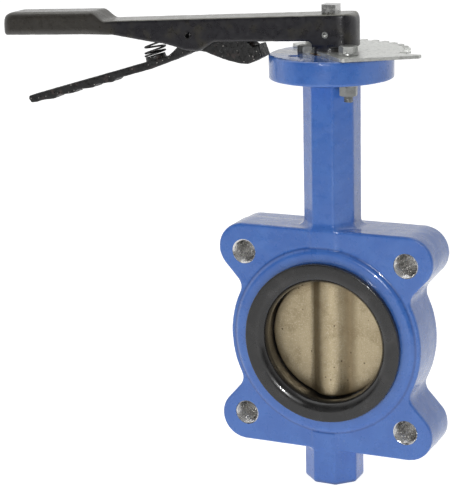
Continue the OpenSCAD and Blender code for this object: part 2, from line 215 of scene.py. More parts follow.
def add_object(name, vertices, faces, sharp=40):
    """A smooth-shaded object from points in mm; edges over the sharp angle stay hard."""
    mesh = bpy.data.meshes.new(name)
    mesh.from_pydata((np.asarray(vertices) * MM).tolist(), [], [list(f) for f in faces])
    mesh.validate()
    mesh.update()
    obj = bpy.data.objects.new(name, mesh)
    bpy.context.scene.collection.objects.link(obj)
    shade(obj, sharp)
    return obj


def shade(obj, sharp):
    obj.data.shade_smooth()
    obj.data.set_sharp_from_angle(angle=math.radians(sharp))


def apply_modifiers(obj):
    graph = bpy.context.evaluated_depsgraph_get()
    mesh = bpy.data.meshes.new_from_object(obj.evaluated_get(graph))
    obj.modifiers.clear()
    old = obj.data
    obj.data = mesh
    bpy.data.meshes.remove(old)


def cut(obj, tool, sharp=40):
    """Cuts the tool's solid out of obj and deletes the tool."""
    modifier = obj.modifiers.new("cut", "BOOLEAN")
    modifier.operation = "DIFFERENCE"
    modifier.solver = "MANIFOLD"
    modifier.object = tool
    apply_modifiers(obj)
    bpy.data.objects.remove(tool)
    shade(obj, sharp)
    return obj


def merge(name, parts, sharp=40):
    """One object from a list of (vertices, faces) in mm."""
    vertices, faces = [], []
    for part_vertices, part_faces in parts:
        base = len(vertices)
        vertices.extend([tuple(p) for p in part_vertices])
        faces.extend([[i + base for i in f] for f in part_faces])
    return add_object(name, vertices, faces, sharp)


def lathe(profile, segments=96):
    """Revolves closed profile points (radius, height) about Z; points on the axis become one vertex."""
    vertices, rows, faces = [], [], []
    for radius, height in profile:
        if radius < 1e-6:
            rows.append([len(vertices)] * segments)
            vertices.append((0, 0, height))
            continue
        start = len(vertices)
        rows.append(list(range(start, start + segments)))
        for i in range(segments):
            a = 2 * math.pi * i / segments
            vertices.append((radius * math.cos(a), radius * math.sin(a), height))
    for r in range(len(rows)):
        a, b = rows[r], rows[(r + 1) % len(rows)]
        for i in range(segments):
            j = (i + 1) % segments
            ring = [a[i], a[j], b[j], b[i]]
            face = [v for n, v in enumerate(ring) if v != ring[n - 1]]
            if len(face) > 2:
                faces.append(face)
    return vertices, faces


def placed(part, centre, axis="Z", turn=0.0):
    """Moves a part made about Z: turned about its own axis, laid along an axis, then set at centre."""
    lay = {"Z": Matrix.Identity(3), "Y": Matrix(((1, 0, 0), (0, 0, 1), (0, -1, 0)))}[axis]
    spin = Matrix.Rotation(turn, 3, "Z")
    matrix = np.array(lay @ spin)
    return np.asarray(part[0]) @ matrix.T + np.asarray(centre), part[1]


def cylinder(radius, low, high, segments=96):
    return lathe([(0, low), (radius, low), (radius, high), (0, high)], segments)


def block(low, high):
    x, y, z = zip(low, high)
    vertices = [(a, b, c) for a in x for b in y for c in z]
    faces = [(0, 1, 3, 2), (4, 6, 7, 5), (0, 4, 5, 1), (2, 3, 7, 6), (0, 2, 6, 4), (1, 5, 7, 3)]
    return vertices, faces


def screw_thread(outer, depth, pitch, low, high, wall=None, segments=40):
    """A threaded bar, or with a wall radius a threaded hole's lining, about Z. Its ends fade to the root."""
    rows = int((high - low) / pitch * 8)
    heights = np.linspace(low, high, rows + 1)
    vertices, faces = [], []
    for h in heights:
        fade = min(1.0, min(h - low, high - h) / pitch * 5)
        for i in range(segments):
            turn = i / segments
            phase = (h / pitch + turn) % 1
            crest = 1 - abs(2 * phase - 1)
            crest = min(1.0, max(0.0, 1.25 * crest - 0.12))
            inward = 1 - crest * fade if wall is None else crest * fade
            r = outer - depth * inward
            a = 2 * math.pi * turn
            vertices.append((r * math.cos(a), r * math.sin(a), h))
    for row in range(rows):
        for i in range(segments):
            j = (i + 1) % segments
            a, b = row * segments, (row + 1) * segments
            face = (a + i, a + j, b + j, b + i)
            faces.append(face if wall is None else face[::-1])
    last = rows * segments
    if wall is None:
        faces.append(list(range(segments))[::-1])
        faces.append([last + i for i in range(segments)])
        return vertices, faces
    base = len(vertices)
    for h in (low, high):
        for i in range(segments):
            a = 2 * math.pi * i / segments
            vertices.append((wall * math.cos(a), wall * math.sin(a), h))
    for i in range(segments):
        j = (i + 1) % segments
        faces.append((base + i, base + j, base + segments + j, base + segments + i))
        faces.append((i, j, base + j, base + i))
        faces.append((last + j, last + i, base + segments + i, base + segments + j))
    return vertices, faces


def hexagon(flats, low, high, chamfer_low, chamfer_high, bore=0.0):
    """A hexagon with its corners turned off at one or both ends, and an optional bore."""
    segments = 72
    slope = math.tan(math.radians(28))
    rings = []
    start_r = flats / 2 * 0.97

    def corner_radius(i):
        sector = (i % (segments // 6)) / (segments // 6) * 60 - 30
        return flats / 2 / math.cos(math.radians(sector))

    def ring(radius_of, height_of):
        points = []
        for i in range(segments):
            a = 2 * math.pi * i / segments
            r = radius_of(i)
            points.append((r * math.cos(a), r * math.sin(a), height_of(r)))
        rings.append(points)

    ring(lambda i: max(bore, 0.01), lambda r: low)
    ring(lambda i: start_r, lambda r: low)
    ring(corner_radius, lambda r: low + (max(0, r - start_r) * slope if chamfer_low else 0))
    ring(corner_radius, lambda r: high - (max(0, r - start_r) * slope if chamfer_high else 0))
    ring(lambda i: start_r, lambda r: high)
    ring(lambda i: max(bore, 0.01), lambda r: high)
    vertices = [p for points in rings for p in points]
    faces = []
    for n in range(len(rings)):
        a, b = n * segments, (n + 1) % len(rings) * segments
        for i in range(segments):
            j = (i + 1) % segments
            faces.append((a + i, a + j, b + j, b + i))
    return vertices, faces


# ---- Cast pieces ----


def slab_outline():
    """The slab's outline: ring, fillet, straight flank and lug for one quarter, mirrored four ways."""
    lug = LUG_XZ + LUG_OUT
    flank = math.radians(LUG_FLARE - 45)
    normal = np.array([math.cos(flank), math.sin(flank)])
    tangent = np.array([-normal[1], normal[0]])
    off = lug @ normal + LUG_R + LUG_FILLET_R
    along = math.sqrt((RING_R + LUG_FILLET_R) ** 2 - off**2)
    fillet = off * normal + along * tangent
    ring_end = math.degrees(math.atan2(fillet[1], fillet[0]))
    quarter = arc((0, 0), RING_R, 0, ring_end, 10)
    quarter += arc(fillet, LUG_FILLET_R, ring_end + 180, LUG_FLARE + 135, 12)
    quarter += arc(lug, LUG_R, LUG_FLARE - 45, 90, 30)
    left = [(-x, z) for x, z in quarter[::-1]]
    return quarter + left + [(-x, -z) for x, z in quarter] + [(x, -z) for x, z in quarter[::-1]]


def octagon(corner_r):
    return [
        (corner_r * math.cos(math.radians(a)), corner_r * math.sin(math.radians(a)))
        for a in np.arange(22.5, 360, 45)
    ]


def body_casting():
    """Slab with a drafted edge, raised rings, neck, flange and foot, all blended as one casting."""
    edge_r, neck_edge_r, draft = 1.3, 1.6, 0.008
    axes = field_axes(BODY_LO, BODY_HI, 0.8)
    x, y, z = axes
    # The two halves of the mould sat a little out of line, which left a step along the left side
    back_half = np.clip((y - 3.2) / 1.6, 0, 1) * np.clip(-x / 20, 0, 1)
    flat = polygon_field(slab_outline(), x, z) * (1 - back_half)
    flat = flat + polygon_field(slab_outline(), x - 0.5, z + 0.35) * back_half
    slab = extrude(flat + draft * np.abs(y), np.abs(y) - SLAB_HALF, edge_r)
    neck_flat = polygon_field(octagon(NECK_CORNER_R), x, y)
    foot_flat = polygon_field(octagon(FOOT_CORNER_R), x, y)
    neck_middle = (FLANGE_Z + 60) / 2 - 1
    neck = extrude(neck_flat, np.abs(z - neck_middle) - (neck_middle - 60), neck_edge_r)
    foot_middle = (FOOT_Z - 60) / 2
    foot = extrude(foot_flat, np.abs(z - foot_middle) - (-60 - foot_middle), 2.4)
    flange_middle = FLANGE_Z - FLANGE_T / 2
    flange = extrude(np.hypot(x, y) - FLANGE_R, np.abs(z - flange_middle) - FLANGE_T / 2, 1.1)
    whole = join(join(slab, neck, 4.0), join(flange, neck, 1.8), 0.1)
    whole = join(whole, foot, 2.6)
    rho = np.hypot(x, z)
    # Each raised ring rises from a crisp crease to its flat face
    crown = np.clip((rho - RING_BASE_R + 3) / 3, 0, 1)
    swell = SLAB_HALF + (RING_FACE_HALF - SLAB_HALF) * (1 - crown**1.6)
    rings = np.maximum(rho - RING_BASE_R, (np.abs(y) - swell) * 0.9)
    whole = join(whole, rings, 0.25)
    machined = np.abs(y) > RING_FACE_HALF - 0.6
    whole += np.where(machined, 0, 0.11) * lumps(whole.shape, 9, 3) + 0.05 * lumps(whole.shape, 4, 4)
    obj = add_object("body_casting", *surface_net(whole, axes), sharp=60)

    across = [placed(cylinder(LINER_R + 0.02, -FACE_HALF, FACE_HALF, 160), (0, 0, 0), "Y")]
    for sx in (-1, 1):
        for sz in (-1, 1):
            hole = cylinder(LUG_HOLE_R, -FACE_HALF, FACE_HALF, 64)
            across.append(placed(hole, (sx * LUG_XZ, 0, sz * LUG_XZ), "Y"))
    cut(obj, merge("cut_across", across), sharp=50)
    bore_r, counterbore_r, counterbore = STEM_R + 1.65, 13.05, 2.95
    upright = [
        lathe([
            (0, 40), (bore_r, 40), (bore_r, FLANGE_Z - 6), (10, FLANGE_Z - 6), (10, FLANGE_Z - counterbore),
            (counterbore_r, FLANGE_Z - counterbore), (counterbore_r, FLANGE_Z + 1), (0, FLANGE_Z + 1),
        ]),
        lathe([(0, FOOT_Z + 11), (bore_r, FOOT_Z + 11), (bore_r, -40), (0, -40)]),
    ]
    for quarter in range(4):
        a = math.radians(45 + 90 * quarter)
        centre = (FLANGE_HOLE_PCD_R * math.cos(a), FLANGE_HOLE_PCD_R * math.sin(a), 0)
        upright.append(placed(cylinder(3.5, FLANGE_Z - FLANGE_T - 2, FLANGE_Z + 1, 48), centre))
    screw_x, screw_y = retainer_centre()
    upright.append(placed(cylinder(3.0, FLANGE_Z - 13, FLANGE_Z + 1, 48), (screw_x, screw_y, 0)))
    return cut(obj, merge("cut_upright", upright), sharp=50)


def retainer_centre():
    low, high = box_mm("retainer_screw")
    return (low[0] + high[0]) / 2, (low[1] + high[1]) / 2


def lug_threads():
    """Threaded linings of the four lug holes, 5/8 inch with 11 threads per inch."""
    pitch, depth, end = 25.4 / 11, 1.0, SLAB_HALF - 0.35
    lining = screw_thread(LUG_HOLE_R + 0.02, depth, pitch, -end, end, LUG_HOLE_R + 0.5, 48)
    parts = [
        placed(lining, (sx * LUG_XZ, 0, sz * LUG_XZ), "Y", sx + 2 * sz) for sx in (-1, 1) for sz in (-1, 1)
    ]
    return merge("lug_threads", parts, sharp=35)


def seat_ring():
    """The rubber seat: lips that stand out of both faces, rounded into the bore."""
    mouth_r, round_r, edge_r, waist = SEAT_BORE_R - 0.9, 7.2, 0.9, 10.0
    half = [(LINER_R, RING_FACE_HALF + 0.02), (SEAT_LIP_R - 0.3, RING_FACE_HALF + 0.02)]
    half += arc((SEAT_LIP_R - edge_r, RING_FACE_HALF + 1.0), edge_r, 0, 10, 1)
    half += arc((SEAT_LIP_R - edge_r, FACE_HALF - edge_r), edge_r, 0, 90, 6)
    half += [(SEAT_LIP_R - 2.2, FACE_HALF)]
    half += arc((mouth_r + round_r, FACE_HALF - round_r), round_r, 90, 180, 16)
    half += [(SEAT_BORE_R, waist)]
    profile = half + [(r, -h) for r, h in half[::-1]]
    obj = merge("seat_ring", [placed(lathe(profile, 160), (0, 0, 0), "Y")])
    hole = cylinder(STEM_R + 0.1, -LINER_R - 2, LINER_R + 2, 48)
    return cut(obj, merge("cut_stem", [hole]))


def disc_casting():
    """A ball's edge, flat wings and a round hub down the middle, with cast fillets."""
    wing, hub_r, blend_r = 5.0, 11.5, 3.6
    axes = field_axes((-DISC_R, -hub_r, -DISC_R), (DISC_R, hub_r, DISC_R), 0.6)
    x, y, z = axes
    ball = np.sqrt(x * x + y * y + z * z) - DISC_R
    section = join(np.abs(y) - wing + 0 * x, np.hypot(x, y) - hub_r, blend_r)
    whole = meet(ball, section + 0 * z, 0.5)
    cast = (ball < -1.2) * 0.06
    whole += cast * lumps(whole.shape, 7, 11) + cast * lumps(whole.shape, 3, 12)
    obj = add_object("disc_casting", *surface_net(whole, axes), sharp=60)
    return cut(obj, merge("cut_bore", [cylinder(STEM_R + 0.05, -DISC_R - 2, DISC_R + 2, 64)]), sharp=50)


# The handle's lines: heights along it, in mm
ARM_Z, HUB_TOP_Z = 188.4, 204.6
DROOP, TAPER = math.tan(math.radians(2.4)), math.tan(math.radians(3.4))


def under_z(x):
    return ARM_Z + x * DROOP


def top_z(x):
    return HUB_TOP_Z + x * TAPER


def grip_under_z(x):
    return under_z(x) + 4.6


def grip_top_z(x):
    return grip_under_z(x) + 15.1


def lever_profile():
    """The handle's outline in X and Z: hub, arm, ear at the pivot and raised grip."""
    hub_bottom, hub_x0, hub_x1, hub_round = 184.6, -9.0, 18.0, 5.5
    end, neck_x, grip_x, ear_low_z = LEVER_LO[0], -151.0, -161.5, 179.1
    points = [(hub_x0, hub_bottom), (hub_x1, hub_bottom)]
    points += arc((hub_x1 - hub_round, HUB_TOP_Z - hub_round + 0.6), hub_round, 0, 90, 8)
    for i in range(15):
        t = i / 14
        s = t * t * (3 - 2 * t)
        x = neck_x + (grip_x - neck_x) * t
        points.append((x, top_z(x) * (1 - s) + grip_top_z(x) * s))
    points += arc((end + 9.5, grip_top_z(end) - 9.2), 9.5, 90, 180, 10)
    points += arc((end + 3.5, grip_under_z(end) + 3.5), 3.5, 180, 270, 6)
    points += [(-152.5, grip_under_z(-152.5)), (-146, under_z(-146) + 4.6)]
    points += [(-118, under_z(-118)), (-110, under_z(-110) - 1), (-102.5, under_z(-102.5) - 2.8)]
    points += arc((-93, ear_low_z + 10), 10, 252, 270, 4)
    points += arc((-86.5, ear_low_z + 8), 8, 270, 302, 6)
    points += [(-73.8, under_z(-73.8))]
    points += arc((hub_x0 - 2.6, under_z(hub_x0) - 2.6), 2.6, 90, 0, 5)
    return points


def lever_casting():
    """The handle with its slot for the trigger, hub boss and square, pin and screw holes."""
    slot_half, slot_x0, slot_x1, roof_t = 7.5, -141.0, -16.0, 4.5
    spigot_z = LEVER_LO[2]
    axes = field_axes(LEVER_LO, LEVER_HI, 0.7)
    x, y, z = axes
    # The grip is well rounded, and the arm has a tighter edge
    edge_r = 1.2 + 3.2 * np.clip((-146 - x) / 18, 0, 1)
    bar = extrude(polygon_field(lever_profile(), x, z), np.abs(y) - LEVER_HALF, edge_r)
    hub_end = np.hypot(np.maximum(x - 6.5, 0), y) - LEVER_HALF
    round_r = 8.5
    past_x = np.maximum(LEVER_LO[0] + round_r - x, 0)
    past_y = np.maximum(np.abs(y) - LEVER_HALF + round_r, 0)
    grip_end = np.hypot(past_x, past_y) - round_r
    bar = meet(bar, np.maximum(hub_end, grip_end) + 0 * z, 1.5)
    roof = top_z(x) - roof_t
    inside_x = np.maximum(slot_x0 - x, x - slot_x1)
    slot = np.maximum(np.maximum(inside_x, np.abs(y) - slot_half), z - roof)
    bar = meet(bar, -slot, 1.0)
    spigot = np.maximum(np.hypot(x, y) - 11.0, np.abs(z - spigot_z - 3) - 3)
    bar = join(bar, spigot, 0.3)
    bar += 0.07 * lumps(bar.shape, 6, 21) + 0.04 * lumps(bar.shape, 3, 22)
    obj = add_object("lever_casting", *surface_net(bar, axes), sharp=60)
    square = 9.1 / 2
    socket = block((-square, -square, spigot_z - 2), (square, square, LEVER_HI[2] + 3))
    cut(obj, merge("cut_square", [socket]), 50)
    pin = placed(cylinder(PIN_R + 0.05, -LEVER_HALF - 2, LEVER_HALF + 2, 40), PIVOT, "Y")
    cut(obj, merge("cut_pin", [pin]), 50)
    screw_lo, screw_hi = box_mm("lever_set_screw")
    middle = (screw_lo + screw_hi) / 2
    screw = placed(cylinder(2.05, -8, 3.4, 40), middle, "Y")
    return cut(obj, merge("cut_screw", [screw]), 50)


SLOPE = math.radians(16.6)
RIB_PITCH = 15.2
SPRING_X, SPRING_SEAT_Z = -120.5, 173.8


def arm_point(u, v):
    """A point of the trigger's arm, u along it from the pivot and v above its top edge."""
    return -u * math.cos(SLOPE) - v * math.sin(SLOPE), -9.1 - u * math.sin(SLOPE) + v * math.cos(SLOPE)


def rib(u):
    t = (u / RIB_PITCH) % 1
    rise = 0.22
    return 1.3 * (t / rise if t < rise else (1 - t) / (1 - rise))


def trigger_profile():
    """The trigger's outline about its pivot: nose, ribbed arm and hub."""
    end, start, thick = 126.0, 58.0, 5.0
    points = [(0, 5.5), (6, 2.5), (35.5, 1.2), (38.5, -2.6), (42, -5.6), (46, -4.2), (48.7, -11.9), (45, -14)]
    points += [(38.6, -16.9), (33, -16.7), (24.8, -15.2), (19, -13.5), (10, -10.5), (5.8, -9.9)]
    points += [(-0.6, -11.5), (-10.4, -15.8)]
    points += [arm_point(start - 26, -thick)]
    for i in range(73):
        u = start + (end - 6 - start) * i / 72
        points.append(arm_point(u, -thick - rib(u - start)))
    points += [arm_point(end - 1.1, -4.8), arm_point(end, -1.9), arm_point(end - 1, 0), arm_point(17.5, 0)]
    points += [(-10.2, -8.6), (-5.5, 0)]
    return points + arc((0, 0), 5.5, 170, 100, 6)


def trigger_casting():
    """The rough cast trigger, with the round seat that the spring stands on."""
    low, high = box_mm("trigger")
    axes = field_axes(low, high, 0.55)
    x, y, z = axes
    flat = polygon_field(trigger_profile(), x - PIVOT[0], z - PIVOT[2])
    arm = extrude(flat, np.abs(y) - high[1], 0.8)
    # The boss leans with the arm
    along = (x - SPRING_X) * math.cos(SLOPE) + (z - SPRING_SEAT_Z) * math.sin(SLOPE)
    above = (z - SPRING_SEAT_Z) * math.cos(SLOPE) - (x - SPRING_X) * math.sin(SLOPE)
    seat = extrude(np.hypot(along, y) - 6.6, np.abs(above + 2) - 2, 0.5)
    whole = join(arm, seat, 1.0)
    whole += 0.12 * lumps(whole.shape, 5, 31) + 0.1 * lumps(whole.shape, 2.5, 32)
    obj = add_object("trigger_casting", *surface_net(whole, axes), sharp=60)
    pin = placed(cylinder(PIN_R + 0.05, -9, 9, 40), PIVOT, "Y")
    return cut(obj, merge("cut_pin", [pin]), 50)


# ---- Spring and fasteners ----


def spring_coil():
    """Round wire on a helix: close coils leaning on the boss, and open coils up to the handle."""
    low, high = box_mm("trigger_spring")
    wire_r, turns, steps, sides = 0.65, 3.9, 40, 12
    coil_r = high[1] - wire_r
    count = int(turns * steps)
    foot_z = SPRING_SEAT_Z + wire_r / math.cos(SLOPE) + 0.02
    top_z_here = high[2] - wire_r
    vertices, faces = [], []
    for i in range(count + 1):
        t = i / count
        rise = 0.2 * t + 0.8 * t**2.2
        a = 2 * math.pi * turns * t + 2.9
        lean = math.tan(SLOPE) * (1 - t**3)
        out = np.array([math.cos(a), math.sin(a), 0])
        up = np.array([0, 0, 1])
        x = coil_r * out[0]
        height = foot_z + (top_z_here - foot_z) * rise + lean * x
        centre = np.array([SPRING_X + x, coil_r * out[1], height])
        for j in range(sides):
            b = 2 * math.pi * j / sides
            vertices.append(centre + wire_r * (math.cos(b) * out + math.sin(b) * up))
    for i in range(count):
        for j in range(sides):
            k = (j + 1) % sides
            faces.append((i * sides + j, (i + 1) * sides + j, (i + 1) * sides + k, i * sides + k))
    faces.append(list(range(sides)))
    faces.append([count * sides + j for j in range(sides)][::-1])
    return add_object("spring_coil", vertices, faces, sharp=60)


HEX_FLATS, HEAD_H = 10, 4


def hex_screw(low, high):
    """An M6 screw's chamfered head and its threaded shank, between two corners' heights."""
    head = hexagon(HEX_FLATS, high[2] - HEAD_H, high[2], False, True)
    shank = screw_thread(2.95, 0.5, 1.0, low[2], high[2] - HEAD_H + 0.2)
    return head, shank


def plate_bolt_centres():
    reach = FLANGE_HOLE_PCD_R / math.sqrt(2)
    return [(-reach, reach, 0), (reach, -reach, 0)]


def plate_bolt_set():
    """Two M6 hexagon bolts."""
    head, shank = hex_screw(*box_mm("plate_bolts"))
    parts = []
    for centre in plate_bolt_centres():
        parts += [placed(head, centre, turn=math.radians(20)), placed(shank, centre)]
    return merge("plate_bolt_set", parts, sharp=25)


def plate_nut_set():
    low, high = box_mm("plate_nuts")
    nut = hexagon(HEX_FLATS, low[2], high[2], True, True, bore=3.0)
    parts = [placed(nut, centre, turn=math.radians(40)) for centre in plate_bolt_centres()]
    return merge("plate_nut_set", parts, sharp=25)


def retainer_bolt():
    """The M6 screw beside the hub, with one flat of its head towards the stem."""
    low, high = box_mm("retainer_screw")
    x, y = retainer_centre()
    turn = math.atan2(y, x) + math.radians(30)
    head, shank = hex_screw(low, high)
    parts = [placed(head, (x, y, 0), turn=turn), placed(shank, (x, y, 0))]
    return merge("retainer_bolt", parts, sharp=25)


def soften(node, width, segments=2, angle=30):
    """Bevels a CAD node's own edges without changing its mesh."""
    obj = nodes[node]
    weld = obj.modifiers.new("weld", "WELD")
    weld.merge_threshold = 0.002 * MM
    bevel = obj.modifiers.new("bevel", "BEVEL")
    bevel.width = width * MM
    bevel.segments = segments
    bevel.limit_method = "ANGLE"
    bevel.angle_limit = math.radians(angle)
    bevel.harden_normals = True
    return obj


# ---- Materials ----


class Finish:
    """A node material with one Principled shader, textured in object coordinates."""

    def __init__(self, name, colour, roughness, metallic=0.0, coat=0.0, specular=0.5):
        self.material = bpy.data.materials.new(name)
        self.material.use_nodes = True
        self.tree = self.material.node_tree
        self.tree.nodes.clear()
        output = self.tree.nodes.new("ShaderNodeOutputMaterial")
        self.shader = self.tree.nodes.new("ShaderNodeBsdfPrincipled")
        self.link(self.shader.outputs["BSDF"], output.inputs["Surface"])
        self.place = self.tree.nodes.new("ShaderNodeTexCoord").outputs["Object"]
        self.set("Base Color", (*colour, 1))
        self.set("Roughness", roughness)
        self.set("Metallic", metallic)
        self.set("Coat Weight", coat)
        self.set("Coat Roughness", 0.04)
        self.set("Specular IOR Level", specular)
        self.height = None

    def link(self, source, target):
        self.tree.links.new(source, target)

    def set(self, name, value):
        self.shader.inputs[name].default_value = value

    def node(self, kind, **settings):
        made = self.tree.nodes.new(kind)
        for key, value in settings.items():
            setattr(made, key, value)
        return made

    def noise(self, size_mm, detail=3.0, stretch=(1, 1, 1), distortion=0.0):
        """Noise whose features are about size_mm across, drawn out along an axis by a small stretch."""
        mapping = self.node("ShaderNodeMapping")
        mapping.inputs["Scale"].default_value = stretch
        self.link(self.place, mapping.inputs["Vector"])
        texture = self.node("ShaderNodeTexNoise")
        texture.inputs["Scale"].default_value = 1000 / size_mm
        texture.inputs["Detail"].default_value = detail
        texture.inputs["Distortion"].default_value = distortion
        self.link(mapping.outputs["Vector"], texture.inputs["Vector"])
        return texture.outputs["Fac"]

    def cells(self, size_mm, randomness=1.0):
        """Distance to the nearest of scattered points about size_mm apart."""
        texture = self.node("ShaderNodeTexVoronoi")
        texture.inputs["Scale"].default_value = 1000 / size_mm
        texture.inputs["Randomness"].default_value = randomness
        self.link(self.place, texture.inputs["Vector"])
        return texture.outputs["Distance"]

    def span(self, value, low, high, to_low=0.0, to_high=1.0):
        """Maps a value's range, clamped."""
        made = self.node("ShaderNodeMapRange", interpolation_type="SMOOTHSTEP")
        for name, number in zip(("From Min", "From Max", "To Min", "To Max"), (low, high, to_low, to_high)):
            made.inputs[name].default_value = number
        self.link(value, made.inputs["Value"])
        return made.outputs["Result"]

    def math(self, operation, a, b):
        made = self.node("ShaderNodeMath", operation=operation)
        for socket, value in zip(made.inputs, (a, b)):
            if isinstance(value, (int, float)):
                socket.default_value = value
            else:
                self.link(value, socket)
        return made.outputs[0]

    def square(self, value):
        return self.math("MULTIPLY", value, value)

    def coordinate(self, axis):
        """Place along one of the object's axes, in metres."""
        split = self.node("ShaderNodeSeparateXYZ")
        self.link(self.place, split.inputs["Vector"])
        return split.outputs[axis]

    def from_bore_axis(self):
        """Distance from the bore's axis, in metres."""
        squares = self.math("ADD", self.square(self.coordinate("X")), self.square(self.coordinate("Z")))
        return self.math("SQRT", squares, 0)

    def tint(self, colour, share):
        """Mixes a colour over the base colour by a share from 0 to 1."""
        base = self.shader.inputs["Base Color"]
        made = self.node("ShaderNodeMix", data_type="RGBA")
        self.link(share, made.inputs["Factor"])
        if base.is_linked:
            self.link(base.links[0].from_socket, made.inputs["A"])
        else:
            made.inputs["A"].default_value = base.default_value
        made.inputs["B"].default_value = (*colour, 1)
        self.link(made.outputs["Result"], base)

    def rough(self, value):
        self.link(value, self.shader.inputs["Roughness"])

    def bump(self, value, depth_mm):
        """Adds relief of about depth_mm."""
        made = self.node("ShaderNodeBump")
        made.inputs["Distance"].default_value = depth_mm * MM
        self.link(value, made.inputs["Height"])
        if self.height is not None:
            self.link(self.height, made.inputs["Normal"])
        self.height = made.outputs["Normal"]
        self.link(self.height, self.shader.inputs["Normal"])
        if self.shader.inputs["Coat Weight"].default_value > 0:
            self.link(self.height, self.shader.inputs["Coat Normal"])

    def corners(self, low=0.5, high=0.6):
        """How convex the surface is, from 0 to 1: near 1 on outer edges."""
        return self.span(self.node("ShaderNodeNewGeometry").outputs["Pointiness"], low, high)

    def depth_in(self, distance_mm, low=0.35, high=0.95):
        """1 in open places, falling to 0 in tight corners."""
        made = self.node("ShaderNodeAmbientOcclusion", samples=6)
        made.inputs["Distance"].default_value = distance_mm * MM
        return self.span(made.outputs["AO"], low, high)


def blue_paint():
    f = Finish("blue_paint", (0.047, 0.157, 0.53), 0.3, coat=0.9)
    f.tint((0.058, 0.18, 0.57), f.span(f.noise(14, 2), 0.4, 0.65))
    f.tint((0.038, 0.13, 0.46), f.span(f.noise(0.9, 2), 0.52, 0.75, 0, 0.5))
    # Painted shade: darker in corners and recesses, such as the neck just under the flange
    painted_corner_shade = f.math("MULTIPLY", f.math("SUBTRACT", 1.0, f.depth_in(6, 0.25, 0.85)), 0.7)
    f.tint((0.03, 0.05, 0.12), painted_corner_shade)
    f.tint((0.2, 0.27, 0.5), f.span(f.cells(26), 0.02, 0.035, 0.35, 0))
    # Painted shade: a dark line in the crease at the foot of each raised ring
    from_crease = f.math("ABSOLUTE", f.math("SUBTRACT", f.from_bore_axis(), RING_BASE_R * MM), 0)
    from_middle = f.math("ABSOLUTE", f.coordinate("Y"), 0)
    on_face = f.span(from_middle, (SLAB_HALF - 1.2) * MM, (SLAB_HALF - 0.2) * MM)
    f.tint((0.02, 0.06, 0.24), f.math("MULTIPLY", f.span(from_crease, 0.0002, 0.0011, 0.5, 0), on_face))
    f.rough(f.span(f.noise(5, 3), 0.3, 0.7, 0.24, 0.38))
    f.bump(f.noise(4.5, 2), 0.10)
    f.bump(f.noise(1.1, 2), 0.02)
    return f.material


def seat_rubber():
    f = Finish("seat_rubber", (0.015, 0.0145, 0.0145), 0.32, coat=0.35)
    f.tint((0.042, 0.04, 0.04), f.span(f.noise(16, 4, distortion=0.6), 0.5, 0.75, 0, 0.8))
    f.tint((0.08, 0.077, 0.073), f.span(f.cells(5.5), 0.03, 0.08, 0.4, 0))
    # The bore's wall is polished by the disc
    polish = f.span(f.from_bore_axis(), (SEAT_BORE_R + 0.5) * MM, (SEAT_BORE_R + 4) * MM, 0.55, 1.0)
    f.rough(f.math("MULTIPLY", f.span(f.noise(9, 3), 0.3, 0.7, 0.2, 0.38), polish))
    f.bump(f.noise(0.6, 3), 0.012)
    f.bump(f.noise(7, 2), 0.05)
    return f.material


def cast_bronze():
    f = Finish("cast_bronze", (0.56, 0.465, 0.30), 0.4, metallic=0.75, specular=0.5)
    f.tint((0.40, 0.315, 0.19), f.span(f.noise(11, 3, distortion=0.4), 0.45, 0.7, 0, 0.7))
    f.tint((0.66, 0.575, 0.41), f.span(f.noise(1.0, 3), 0.5, 0.68, 0, 0.8))
    # Painted shade: darker where the wings meet the hub
    hub_corner_shade = f.math("SUBTRACT", 1.0, f.depth_in(9, 0.45, 0.9))
    f.tint((0.17, 0.125, 0.07), f.math("MULTIPLY", hub_corner_shade, 0.8))
    # Painted shade down both flanks of the hub, standing in for the dark seat they reflect
    across = f.coordinate("X")
    left = f.math("MULTIPLY", f.span(across, -0.0116, -0.0102), f.span(across, -0.008, 0.003, 0.62, 0))
    right = f.math("MULTIPLY", f.span(across, 0.006, 0.0125, 0, 0.75), f.span(across, 0.013, 0.020, 1, 0))
    f.tint((0.20, 0.145, 0.075), f.math("ADD", left, right))
    f.tint((0.12, 0.085, 0.045), f.span(f.cells(6.5), 0.05, 0.11, 0.9, 0))
    f.tint((0.2, 0.15, 0.09), f.span(f.noise(0.55, 2), 0.6, 0.72, 0, 0.65))
    f.rough(f.span(f.noise(3, 3), 0.3, 0.7, 0.34, 0.52))
    f.bump(f.noise(0.8, 3), 0.10)
    f.bump(f.span(f.cells(6.5), 0.0, 0.12), 0.25)
    return f.material


def turned_steel(name, colour, ring_axis_stretch, roughness=0.3):
    """Steel with fine tool marks drawn out by the stretch."""
    f = Finish(name, colour, roughness, metallic=1.0)
    marks = f.noise(0.5, 3, ring_axis_stretch)
    f.tint(tuple(0.72 * c for c in colour), f.span(marks, 0.35, 0.65, 0.8, 0))
    f.tint((0.25, 0.22, 0.19), f.span(f.noise(3.5, 4), 0.58, 0.75, 0, 0.45))
    f.rough(f.span(f.noise(2, 3), 0.3, 0.7, roughness - 0.08, roughness + 0.12))
    f.bump(marks, 0.015)
    return f.material


def zinc_plate(name, shade_of_grey=1.0):
    """Zinc plating; fasteners take a darker shade than the sheet."""
    f = Finish(name, tuple(shade_of_grey * c for c in (0.7, 0.71, 0.68)), 0.36, metallic=0.85)
    f.tint(tuple(shade_of_grey * c for c in (0.46, 0.47, 0.45)), f.span(f.noise(3.2, 3), 0.45, 0.7, 0, 0.7))
    f.tint(tuple(shade_of_grey * c for c in (0.82, 0.83, 0.81)), f.span(f.noise(0.7, 2), 0.5, 0.7, 0, 0.7))
    f.rough(f.span(f.noise(1.6, 3), 0.3, 0.7, 0.28, 0.48))
    f.bump(f.noise(0.5, 2), 0.02)
    return f.material


